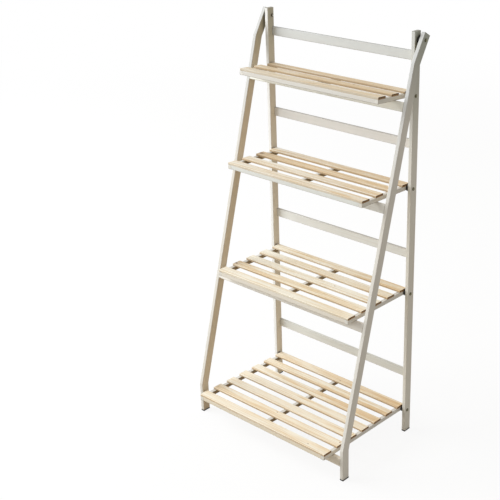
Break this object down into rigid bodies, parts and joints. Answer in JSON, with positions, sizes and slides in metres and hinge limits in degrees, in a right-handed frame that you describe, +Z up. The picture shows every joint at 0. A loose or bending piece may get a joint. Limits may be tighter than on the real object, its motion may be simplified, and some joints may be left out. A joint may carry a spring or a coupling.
{
  "type": "folding plant ladder stand",
  "caption": "Folding wooden ladder stand with stepped slatted shelves that lift on rear pivots over a hinged front frame.",
  "frame": {"origin": "on the floor, under the middle of the stand's bounding box", "axes": "+Z up, +X to the stand's right as seen from the front, -Y to the front, where the shelves reach out"},
  "size_m": [0.6066, 0.3992, 1.25],
  "materials": {
    "post_paint": "whitewashed, matt",
    "rail_paint": "whitewashed, matt",
    "leg_paint": "whitewashed, matt",
    "crossbar_paint": "whitewashed, matt",
    "shelf_frame_paint": "whitewashed, matt",
    "slat_wood": "pale wash over warm wood, matt",
    "glide_rubber": "black, matt",
    "spacer_plastic": "black, matt",
    "bolt_steel": "zinc-plated, dark in the recesses",
    "nut_steel": "burnished black"
  },
  "bodies": {
    "rear_frame": {"rear_post_left": "post_paint", "rear_post_right": "post_paint", "rear_rail_1": "rail_paint", "rear_rail_2": "rail_paint", "rear_rail_3": "rail_paint", "rear_rail_4": "rail_paint", "rear_glides": "glide_rubber", "hinge_bolts": "bolt_steel", "hinge_nuts": "nut_steel", "hinge_spacers": "spacer_plastic", "shelf_bolts": "bolt_steel", "shelf_nuts": "nut_steel", "shelf_spacers": "spacer_plastic"},
    "front_frame": {"front_leg_left": "leg_paint", "front_leg_right": "leg_paint", "front_crossbar_1": "crossbar_paint", "front_crossbar_2": "crossbar_paint", "front_crossbar_3": "crossbar_paint", "front_crossbar_4": "crossbar_paint", "front_glides": "glide_rubber"},
    "shelf_1": {"shelf_1_rail_left": "shelf_frame_paint", "shelf_1_rail_right": "shelf_frame_paint", "shelf_1_batten": "shelf_frame_paint", "shelf_1_front_board": "shelf_frame_paint", "shelf_1_slat_1": "slat_wood", "shelf_1_slat_2": "slat_wood", "shelf_1_slat_3": "slat_wood"},
    "shelf_2": {"shelf_2_rail_left": "shelf_frame_paint", "shelf_2_rail_right": "shelf_frame_paint", "shelf_2_batten": "shelf_frame_paint", "shelf_2_front_board": "shelf_frame_paint", "shelf_2_slat_1": "slat_wood", "shelf_2_slat_2": "slat_wood", "shelf_2_slat_3": "slat_wood", "shelf_2_slat_4": "slat_wood"},
    "shelf_3": {"shelf_3_rail_left": "shelf_frame_paint", "shelf_3_rail_right": "shelf_frame_paint", "shelf_3_batten": "shelf_frame_paint", "shelf_3_front_board": "shelf_frame_paint", "shelf_3_slat_1": "slat_wood", "shelf_3_slat_2": "slat_wood", "shelf_3_slat_3": "slat_wood", "shelf_3_slat_4": "slat_wood", "shelf_3_slat_5": "slat_wood"},
    "shelf_4": {"shelf_4_rail_left": "shelf_frame_paint", "shelf_4_rail_right": "shelf_frame_paint", "shelf_4_batten": "shelf_frame_paint", "shelf_4_front_board": "shelf_frame_paint", "shelf_4_slat_1": "slat_wood", "shelf_4_slat_2": "slat_wood", "shelf_4_slat_3": "slat_wood", "shelf_4_slat_4": "slat_wood", "shelf_4_slat_5": "slat_wood", "shelf_4_slat_6": "slat_wood", "shelf_4_slat_7": "slat_wood"}
  },
  "joints": [
    {"name": "frame_fold", "type": "hinge", "parent": "rear_frame", "child": "front_frame", "pos_m": [0, 0.17923, 1.2275], "axis": [1, 0, 0], "range_deg": [0, 14]},
    {"name": "shelf_1_lift", "type": "hinge", "parent": "rear_frame", "child": "shelf_1", "pos_m": [0, 0.17173, 1.073], "axis": [-1, 0, 0], "range_deg": [0, 82.5]},
    {"name": "shelf_2_lift", "type": "hinge", "parent": "rear_frame", "child": "shelf_2", "pos_m": [0, 0.17173, 0.8035], "axis": [-1, 0, 0], "range_deg": [0, 85.5]},
    {"name": "shelf_3_lift", "type": "hinge", "parent": "rear_frame", "child": "shelf_3", "pos_m": [0, 0.17173, 0.474], "axis": [-1, 0, 0], "range_deg": [0, 86.2]},
    {"name": "shelf_4_lift", "type": "hinge", "parent": "rear_frame", "child": "shelf_4", "pos_m": [0, 0.17173, 0.075], "axis": [-1, 0, 0], "range_deg": [0, 86]}
  ]
}
